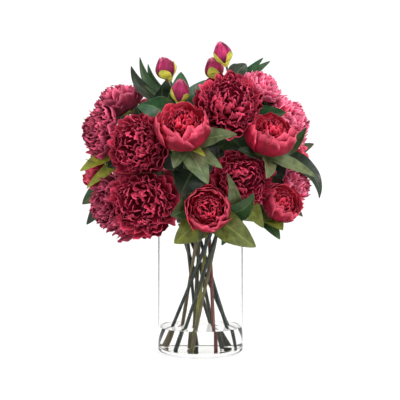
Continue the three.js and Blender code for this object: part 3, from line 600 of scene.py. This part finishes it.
def stem_surface():
    """A stem: streaked along its length, from near black through olive and red-brown to yellow-green."""
    surface = Surface("stem", roughness=0.5, specular_ior_level=0.4)
    along, across, tone = surface.form()
    colour = surface.ramp(tone, [(0.0, srgb(42, 52, 48)), (0.3, srgb(56, 62, 52)),
                                 (0.6, srgb(96, 87, 57)), (0.8, srgb(108, 58, 50)),
                                 (0.92, srgb(98, 54, 52)), (1.0, srgb(130, 134, 58))])
    streaks = surface.streaks(along, across, tone, rates=(14, 9, 1), scale=2.5)
    surface.shade(base_color=surface.lit(colour, surface.ranged(streaks, 0.65, 1.4)))
    surface.bump(streaks, strength=0.4, depth=0.5)
    return surface.material


def sepal_surface():
    """A sepal or calyx: plain green where its tone is low, and yellow-green on the buds."""
    surface = Surface("sepal", roughness=0.55, specular_ior_level=0.4)
    along, across, tone = surface.form()
    fresh = surface.ramp(along, [(0.0, srgb(252, 240, 104)), (0.6, srgb(240, 230, 86)),
                                 (1.0, srgb(168, 178, 64))])
    green = surface.ramp(along, [(0.0, srgb(84, 104, 52)), (1.0, srgb(62, 88, 48))])
    streaks = surface.streaks(along, across, tone, rates=(1, 4, 1), scale=4)
    light = surface.ranged(streaks, 0.7, 1.25)
    surface.shade(base_color=surface.lit(surface.mix(tone, green, fresh), light))
    surface.bump(streaks, strength=0.4, depth=0.4)
    return surface.material


def glass_surface(name, index, tint=(1, 1, 1, 1)):
    """Clear glass or water. Its reflections straight on are dimmed, so that it stays clear."""
    dim = 0.25
    surface = Surface(name, roughness=0, transmission_weight=1, ior=index, base_color=tint,
                      specular_tint=(dim, dim, dim, 1))
    return surface.material


# Heads

def plan_trunks():
    """The straight lower part of each stem, from its foot to its fork."""
    trunks = {}
    for name, (ring, waist, slope, crossing, tone) in STEMS.items():
        lean = slope * LEAN
        foot = VASE_FLOOR + GAP + STEM_RADIUS * math.sin(math.atan(lean))
        out, side = bearings(math.radians(waist))
        trunks[name] = np.array([out * ring + side * (height - crossing) * lean + (0, 0, height)
                                 for height in (foot, FORK_HEIGHT)])
    return trunks


def plan_heads(trunks):
    """Every bloom and bud with its seat, its rotation and its branch."""
    heads = []
    rows = [("bloom_" + row[0], kind, *row[1:], row[3] * BLOOM_DEPTH)
            for kind, blooms in (("ruffled", RUFFLED_BLOOMS), ("cup", CUP_BLOOMS)) for row in blooms]
    rows += [("bud_" + row[0], "bud", *row[1:], "bud", BUD_LENGTH / 2) for row in BUDS]
    for number, (name, kind, stem, middle, radius, face, colour, depth) in enumerate(rows):
        face = unit(face)
        seat = np.array(middle) - face * depth
        foot, top = trunks[stem]
        fork = foot + (top - foot) * FORK_START
        end = seat - face * CALYX_HEIGHT / 2
        reach = np.linalg.norm(end - fork) * BRANCH_BEND
        branch = [fork, fork + unit(top - foot) * reach, end - face * reach, end]
        heads.append({"name": name, "kind": kind, "stem": stem, "middle": np.array(middle, float),
                      "radius": radius, "colour": colour, "seat": seat, "turn": turn_to(face),
                      "branch": branch, "number": number})
    return heads


# Petals

def lip_line(across, notch, random):
    """How far short of its full length a petal stops across its lip: rounded corners and ragged notches.
    A rag is a wave's rate and its share."""
    corner = 0.22
    rags = [(4.1, 1), (7.3, 1), (12.7, 0.7)]
    phases = random.uniform(0, math.tau, len(rags))
    ragged = sum(share * np.sin(rate * across + phase) for (rate, share), phase in zip(rags, phases))
    ragged = ragged / sum(share for rate, share in rags)
    return corner * across ** 4 + notch * (0.5 + 0.5 * ragged)


def ripple(across, waves, finer, share, phases):
    """Waves across a petal, with a share of finer waves on them."""
    coarse = np.sin(math.pi * waves * across + phases[0])
    return coarse + share * np.sin(math.pi * waves * finer * across + phases[1])


def broad_petal(shape, ring, angle, radius, random):
    """A petal that wraps round the bloom's axis, following its ring's profile. A petal that falls is
    shorter and lower. One side edge stands out over the next petal, and the lip may curl out."""
    side_lift = 0.035
    curl_from = 0.65
    foot_width = 0.62
    shortening = 0.5
    lowering = 0.4
    lean = 0.03
    small_step = 0.01
    along, across = shares(*BROAD_GRID)
    fall = ring["fall"] * random.uniform(-0.5, 1)
    reach = along * (1 - lip_line(across, ring["notch"], random)) * (1 - shortening * fall)
    profile = np.array(ring["profile"]) * (1, 1 - lowering * fall)
    place = bezier(profile, reach)
    ahead = bezier(profile, reach + small_step) - place
    normal = unit(np.stack([ahead[..., 1], -ahead[..., 0]], -1))
    wave = ripple(across, ring["waves"], finer=1.9, share=0.6, phases=random.uniform(0, math.tau, 2))
    offset = ring["ruffle"] * along ** 2.5 * wave * (0.5 + 0.5 * np.abs(across))
    offset = offset + side_lift * across * along + random.uniform(-lean, lean) * along
    end = np.clip((along - curl_from) / (1 - curl_from), 0, 1)
    curl = ring["flare"] * random.uniform(-0.4, 1) * end ** 2
    place = place + normal * (offset + curl)[..., None]
    outline = foot_width + (1 - foot_width) * np.sin(math.pi * 0.5 * along ** 0.8)
    half = ring["spread"] * outline * random.uniform(0.88, 1.1)
    bearing = angle + across * half
    grid = np.stack([place[..., 0] * np.cos(bearing), place[..., 0] * np.sin(bearing), place[..., 1]], -1)
    shape.sheet(grid * radius, PETAL_THICKNESS, along, across, random.uniform(), first_back=1)


def narrow_petal(shape, heart, share, angle, radius, random):
    """One of the crowded inner petals: it rises from the heart of the bloom to the dome and bends over it.
    near is small for the petals at the top of the dome, which stand straighter and narrower."""
    foot_width = 0.35
    notch = 0.2
    ruffle = 0.26
    usual_twist = 0.45
    along, across = shares(heart["rows"], heart["columns"])
    sweep = math.acos(heart["edge"] + (1 - heart["edge"]) * share)
    near = min(1, 0.1 + 1.5 * sweep)
    out, side = bearings(angle)
    middle = UP * heart["middle"]

    def on_dome(turn, scale):
        """A point at an angle from the dome's top, scaled from its middle."""
        level = out * heart["wide"] * math.sin(turn) * scale
        return middle + level + UP * heart["high"] * math.cos(turn) * scale

    size = random.uniform(0.92, 1.08)
    bend = heart["bend"] * random.uniform(-0.35, 1.2) * near
    spine = [on_dome(sweep, 0.25), on_dome(sweep + 0.3 * near, 0.75),
             on_dome(sweep + 0.24 * near, 1.04 * size), on_dome(sweep - bend, size)]
    outward = unit(spine[-1] - middle)
    twist = random.normal(0, usual_twist)
    side = side * math.cos(twist) + np.cross(outward, side) * math.sin(twist)
    reach = along * (1 - lip_line(across, notch, random))
    phases = random.uniform(0, math.tau, 2)
    wave = ripple(across, random.uniform(0.9, 1.7), finer=2.2, share=0.5, phases=phases)
    half = heart["half_width"] * random.uniform(0.75, 1.3) * (0.7 + 0.3 * near)
    hollow = random.uniform(0.1, 0.6) * half * across ** 2
    depth = ruffle * half * along ** 1.5 * wave - hollow
    width = half * (foot_width + (1 - foot_width) * np.sin(math.pi * 0.5 * along))
    grid = bezier(spine, reach) + side * (width * across)[..., None] + outward * depth[..., None]
    shape.sheet(grid * radius, PETAL_THICKNESS, along, across, random.uniform())


def core(shape, heart, radius):
    """The dense middle that the petals stand out of, in the colour of their lower part, which is partly
    painted shade.
    """
    wide = 0.6 * heart["wide"]
    high = 0.5 * heart["high"]
    colour_along = 0.3
    profile = [(wide * math.sqrt(1 - h * h) * radius, (heart["middle"] + high * h) * radius)
               for h in np.linspace(-0.95, 0.95, 8)]
    shape.lathe(profile, sides=16, tone=0)
    # Painted shade: the middle takes the deep colour from low down along the petals.
    shape.form[-1][:, 0] = colour_along


def squeeze(points, head, heads):
    """Presses a bloom's petals back from the planes between it and the heads that it touches. What lies
    nearer to a plane than soft, or past it, is brought together in front of it."""
    for other in heads:
        apart = other["middle"] - head["middle"]
        distance = np.linalg.norm(apart)
        total = head["radius"] + other["radius"]
        if other is head or distance > total:
            continue
        soft = SQUEEZE_DEPTH * head["radius"]
        beyond = (points - head["middle"]) @ (apart / distance) - distance * head["radius"] / total
        kept = -GAP - (soft - GAP) * np.exp(-(np.maximum(beyond, -soft) + soft) / (soft - GAP))
        points = points - np.outer(np.where(beyond > -soft, beyond - kept, 0), apart / distance)
    return points


def make_bloom(head, heads, surfaces):
    """A bloom: its dense middle, its rings of broad petals and its crowd of narrow ones, which are fewer
    in a small bloom."""
    random = np.random.default_rng(BLOOM_SEED + head["number"])
    ruffled = head["kind"] == "ruffled"
    heart = RUFFLED_HEART if ruffled else CUP_HEART
    radius = head["radius"]
    shape = Shape()
    core(shape, heart, radius)
    for ring in RUFFLED_RINGS if ruffled else CUP_RINGS:
        start = random.uniform(0, math.tau)
        for i in range(ring["count"]):
            angle = start + math.tau * (i + random.uniform(-0.12, 0.12)) / ring["count"]
            broad_petal(shape, ring, angle, radius, random)
    count = round(heart["count"] * (SMALL_BLOOM_SHARE if radius < SMALL_BLOOM else 1))
    start = random.uniform(0, math.tau)
    for i in range(count):
        narrow_petal(shape, heart, (i + 0.5) / count, start + GOLDEN_ANGLE * i, radius, random)
    shape.move(head["turn"], head["seat"])
    shape.points = [squeeze(shape.points[0], head, heads)]
    piece(head["name"].replace("bloom_", "petals_"), shape, [surfaces[head["colour"]]], head["name"])


def bud_radius(height):
    """How wide a bud is at a share of its height: widest a little below its middle."""
    return np.sin(math.pi * (0.06 + 0.9 * np.clip(height, 0, 1)) ** 0.78)


def wrapped(shape, head, angle, spread, low, high, stand, lean, tone, pointed, thickness):
    """A petal or sepal that lies round a bud between two heights and leans round it as it rises. It stands
    off the bud's own outline, more so on one side, and its tip bends out. A petal has a few folds."""
    one_sided = 0.6
    tip_out = 1.4
    fold_depth = 0.55
    along, across = shares(rows=16, columns=13)
    if pointed:
        outline = (1 - along ** 2) ** 0.6
        corner_drop = 0
        folds = 0
    else:
        outline = 1 - 0.75 * along ** 4
        corner_drop = 0.1
        folds = fold_depth * np.sin(5 * across + 3 * along + 9 * tone) * np.sin(math.pi * along)
    height = low + (high - low) * along * (1 - corner_drop * across ** 2)
    radius = bud_radius(height) * head["radius"] + stand * (1 + one_sided * across)
    radius = radius + tip_out * along ** 6 + folds
    bearing = angle + across * spread * outline + lean * along
    places = np.broadcast_arrays(radius * np.cos(bearing), radius * np.sin(bearing), height * BUD_LENGTH)
    shape.sheet(np.stack(places, -1), thickness, along, across, tone, first_back=1)


def make_bud(head, surfaces):
    """A closed bud of petals that wrap over each other, in three layers of four."""
    random = np.random.default_rng(BUD_SEED + head["number"])
    shape = Shape()
    inside = 0.86
    profile = [(bud_radius(h) * head["radius"] * inside, h * BUD_LENGTH)
               for h in np.linspace(0.02, 0.93, 12)]
    shape.lathe(profile, sides=20, tone=0.4)
    for i in range(12):
        layer = i // 4
        shorter = 0.05 if layer == 2 and i % 2 else 0
        top = 1.0 - random.uniform(0, 0.06) - shorter
        angle = i * math.pi / 2 + layer * 0.5 + random.uniform(-0.2, 0.2)
        wrapped(shape, head, angle, spread=0.8, low=0.0, high=top, stand=-1.2 + 0.9 * layer, lean=0.9,
                tone=random.uniform(), pointed=False, thickness=PETAL_THICKNESS)
    shape.move(head["turn"], head["seat"])
    piece(head["name"].replace("bud_", "bud_petals_"), shape, [surfaces["bud"]], head["name"])


# Stems and leaves

def calyx(shape, head, random):
    """The green cup under a head and its sepals, which lie close under a bloom or round a bud."""
    profile = [(1.5, -CALYX_HEIGHT - 2), (3.2, -CALYX_HEIGHT), (6.4, -3.4), (CALYX_RADIUS, -GAP - 1),
               (CALYX_RADIUS - 0.6, -GAP)]
    own = Shape()
    if head["kind"] == "bud":
        own.lathe(profile, sides=16, tone=0.9)
        for i, top in enumerate(BUD_SEPAL_TOPS):
            wrapped(own, head, SEPAL_TURN * i + head["radius"], spread=0.85, low=-0.04, high=top, stand=1.4,
                    lean=0, tone=random.uniform(0.6, 1), pointed=True, thickness=SEPAL_THICKNESS)
    else:
        own.lathe(profile, sides=16, tone=0.25)
        for i in range(BLOOM_SEPALS):
            sepal_under(own, head, SEPAL_TURN * i + head["radius"], random)
    own.move(head["turn"], head["seat"])
    shape.add(own.points[0], own.faces, np.concatenate(own.form), np.concatenate(own.back), SEPAL)


def sepal_under(shape, head, angle, random):
    """A sepal that slopes away under a bloom, hollow across and pointed."""
    start = 4
    drop = 2.2
    hollow = 0.8
    radius = head["radius"]
    along, across = shares(rows=9, columns=7)
    reach = random.uniform(0.42, 0.62) * radius
    distance = start + along * reach
    height = -drop + 0.02 * radius * along ** 2 + hollow * across ** 2 - drop * along
    half = 0.22 * radius * np.sin(math.pi * (0.12 + 0.86 * along)) ** 0.8
    grid = np.stack(np.broadcast_arrays(distance, half * across, height), -1)
    turned = grid @ np.array([*bearings(angle), UP])
    shape.sheet(turned, SEPAL_THICKNESS, along, across, random.uniform(0, 0.5))


def make_leaf(shape, row, head, random):
    """A leaf from its root to its tip, arched outwards, folded along its rib and waved at its edges."""
    root = bezier(head["branch"], row["along"])
    end = np.array(row["tip"], float)
    run = end - root
    length = np.linalg.norm(run)
    middle = root + run / 2
    away = middle - (head["middle"] if row["around"] else np.array(BOUQUET_HEART))
    if row["faces"]:
        away = np.array(row["faces"])
    direction = run / length
    lift = unit(away - direction * np.dot(away, direction))
    arch = length * (LEAF_ARCH_AROUND if row["around"] else LEAF_ARCH)
    bend = np.array(row["via"], float) if row["via"] else middle + lift * arch
    side = unit(np.cross(direction, lift))
    across = np.array(LEAF_COLUMNS)[None, :]
    along = np.linspace(0, 1, LEAF_ROWS)[:, None]
    spine = bezier([root, bend, end], along[:, 0])[:, None, :]
    half = row["width"] / 2 * (0.05 + 0.95 * np.sin(math.pi * along ** 0.85) ** 0.8)
    wave = random.uniform(0.1, 0.22)
    phase = random.uniform(0, math.tau)
    fold = half * (LEAF_FOLD * np.abs(across) ** 1.2 + wave * across * np.cos(7.8 * along))
    crinkle = 0.07 * half * np.sin(22 * along + phase) * across ** 2
    grid = spine + side * (half * across)[..., None] + lift * (fold + crinkle)[..., None]
    tone = row["tone"] + random.uniform(-0.06, 0.06)
    shape.sheet(grid, LEAF_THICKNESS, along, across, tone, LEAF)


def make_stem(name, tone, trunk, heads, surfaces):
    """A forked stem with its leaves and the calyx of each of its heads. It swells and thins a little on
    its way up, and its branches thicken at both ends."""
    random = np.random.default_rng(STEM_SEED + list(STEMS).index(name))
    shape = Shape()
    steps = np.linspace(0, 1, 40)
    swell = 1 + 0.08 * np.sin(9 * steps + random.uniform(0, 6)) + 0.05 * np.sin(31 * steps)
    shape.tube(bezier(list(trunk), steps), STEM_RADIUS * STEM_SLIMNESS * swell, sides=14, tone=tone)
    own = [head for head in heads if head["stem"] == name]
    for head in own:
        steps = np.linspace(0, 1, 24)
        swell = 1.25 - 0.3 * steps + 0.5 * np.maximum(steps - 0.85, 0)
        branch_tone = 0.3 + 0.3 * random.uniform()
        shape.tube(bezier(head["branch"], steps), BRANCH_RADIUS * swell, sides=10, tone=branch_tone)
        calyx(shape, head, random)
    for row in LEAVES:
        for head in own:
            if head["name"] == row["on"]:
                make_leaf(shape, row, head, random)
    piece("foliage_" + name, shape, surfaces, "stem_" + name)


# Vase and water

def arc(middle, radius, start, end, steps):
    """[radius, height] points on a round corner, between two angles in degrees."""
    angles = np.radians(np.linspace(start, end, steps))
    return [(middle[0] + radius * math.cos(a), middle[1] + radius * math.sin(a)) for a in angles]


def make_vase(surface):
    """The glass: up its outside, over its round lip, and down its inside to its thick floor."""
    inner = VASE_RADIUS - VASE_WALL
    lip = VASE_WALL / 2
    profile = [(AXIS, 0)]
    profile += arc((VASE_RADIUS - VASE_CORNER, VASE_CORNER), VASE_CORNER, -90, 0, 9)
    profile += arc((VASE_RADIUS - lip, VASE_HEIGHT - lip), lip, 0, 180, 9)
    profile += arc((inner - VASE_INNER_CORNER, VASE_FLOOR + VASE_INNER_CORNER), VASE_INNER_CORNER,
                   0, -90, 7)
    profile += [(AXIS, VASE_FLOOR)]
    shape = Shape()
    shape.lathe(profile, VASE_SIDES, tone=0)
    piece("vase_glass", shape, [surface], "vase")


def make_water(surface):
    """The water, a hair into the glass so that no air shows between them, with a meniscus at its rim."""
    wetting = 0.15
    outside = VASE_RADIUS - VASE_WALL + wetting
    bottom = VASE_FLOOR - wetting
    corner = VASE_INNER_CORNER + wetting
    rise = 1.2
    rise_width = 4
    profile = [(AXIS, bottom)]
    profile += arc((outside - corner, bottom + corner), corner, -90, 0, 7)
    profile += [(outside - rise_width * s, WATER_LEVEL + rise * (1 - s) ** 3)
                for s in np.linspace(0, 1, 8)]
    profile += [(AXIS, WATER_LEVEL)]
    shape = Shape()
    shape.lathe(profile, VASE_SIDES, tone=0)
    piece("water_body", shape, [surface], "water")


# Stage, light and camera, in metres and watts

def make_stage():
    """A pale floor that curves up into a backdrop."""
    wide = 6
    front = -3.5
    behind = 2.2
    bend = 1.2
    high = 4
    path = [(front, 0)]
    path += [(behind + bend * math.sin(a), bend * (1 - math.cos(a)))
             for a in np.linspace(0, math.pi / 2, 16)]
    path += [(behind + bend, high)]
    points = [(x, y, z) for y, z in path for x in (-wide, wide)]
    faces = [(2 * i, 2 * i + 1, 2 * i + 3, 2 * i + 2) for i in range(len(path) - 1)]
    mesh = bpy.data.meshes.new("floor")
    mesh.from_pydata(points, [], faces)
    mesh.shade_smooth()
    surface = Surface("floor", roughness=0.9, base_color=(0.25, 0.25, 0.25, 1), emission_strength=0.76,
                      emission_color=(1, 1, 1, 1))
    mesh.materials.append(surface.material)
    floor = add_object("floor", mesh)


def area_light(name, place, size, power):
    """A square lamp that shines on the middle of the bouquet and vase."""
    aim = (0, 0, 0.35)
    light = bpy.data.lights.new(name, "AREA")
    light.size = size
    light.energy = power
    made = add_object(name, light)
    made.location = place
    made.rotation_euler = (Vector(aim) - Vector(place)).to_track_quat("-Z", "Y").to_euler()


def make_light():
    """Soft white light from all round, with a strong lamp at the right, a weak one at the left and one
    above."""
    world = bpy.data.worlds.new("studio")
    world.use_nodes = True
    background = world.node_tree.nodes["Background"]
    background.inputs["Color"].default_value = (1, 1, 1, 1)
    background.inputs["Strength"].default_value = 1.0
    bpy.context.scene.world = world
    area_light("key", (1.15, -1.9, 1.8), size=0.9, power=39)
    area_light("fill", (-1.7, -1.2, 1.2), size=0.9, power=7)
    area_light("top", (0.1, 0.5, 2.1), size=1.0, power=12)
    bpy.context.scene.view_settings.view_transform = "Standard"


def make_camera():
    camera = bpy.data.cameras.new("camera")
    camera.lens = CAMERA_LENS
    camera.sensor_width = CAMERA_SENSOR
    made = add_object("camera", camera)
    made.location = (CAMERA_SIDE * MM, -CAMERA_DISTANCE * MM, CAMERA_HEIGHT * MM)
    made.rotation_euler = (math.radians(90 - CAMERA_PITCH), 0, 0)
    bpy.context.scene.camera = made


def petal_surfaces():
    """Each colour's root, its own colour deepened into painted shade, body, lip, which is a painted
    highlight, outer side, outer side at the root, and spread of lightness.
    """
    # Painted shade: the root colour is crimson deepened into shade, and most colours' outer sides take it
    # at the root as well.
    shaded_root = srgb(70, 8, 21)
    blush = srgb(84, 44, 36)
    colours = {
        "crimson": (shaded_root, srgb(136, 5, 34), srgb(226, 82, 114), srgb(126, 14, 42), shaded_root, 0.32),
        "dusky": (shaded_root, srgb(120, 14, 42), srgb(220, 98, 130), srgb(128, 34, 58), shaded_root, 0.34),
        "pink": (shaded_root, srgb(204, 44, 86), srgb(248, 150, 180), srgb(208, 72, 108), shaded_root, 0.28),
        "red": (shaded_root, srgb(192, 9, 40), srgb(228, 84, 110), srgb(130, 9, 37), blush, 0.22),
        "bud": (srgb(74, 20, 52), srgb(154, 38, 80), srgb(228, 116, 150), srgb(154, 40, 82),
                srgb(98, 30, 70), 0.42),
    }
    return {name: petal_surface("petal_" + name, *row) for name, row in colours.items()}


make_camera()
make_stage()
make_light()
petals = petal_surfaces()
greens = [stem_surface(), leaf_surface(), sepal_surface()]
trunk_lines = plan_trunks()
all_heads = plan_heads(trunk_lines)
make_vase(glass_surface("vase_glass", VASE_INDEX))
make_water(glass_surface("water", WATER_INDEX, WATER_TINT))
for stem_name, stem_row in STEMS.items():
    make_stem(stem_name, stem_row[-1], trunk_lines[stem_name], all_heads, greens)
for each in all_heads:
    if each["kind"] == "bud":
        make_bud(each, petals)
    else:
        make_bloom(each, all_heads, petals)
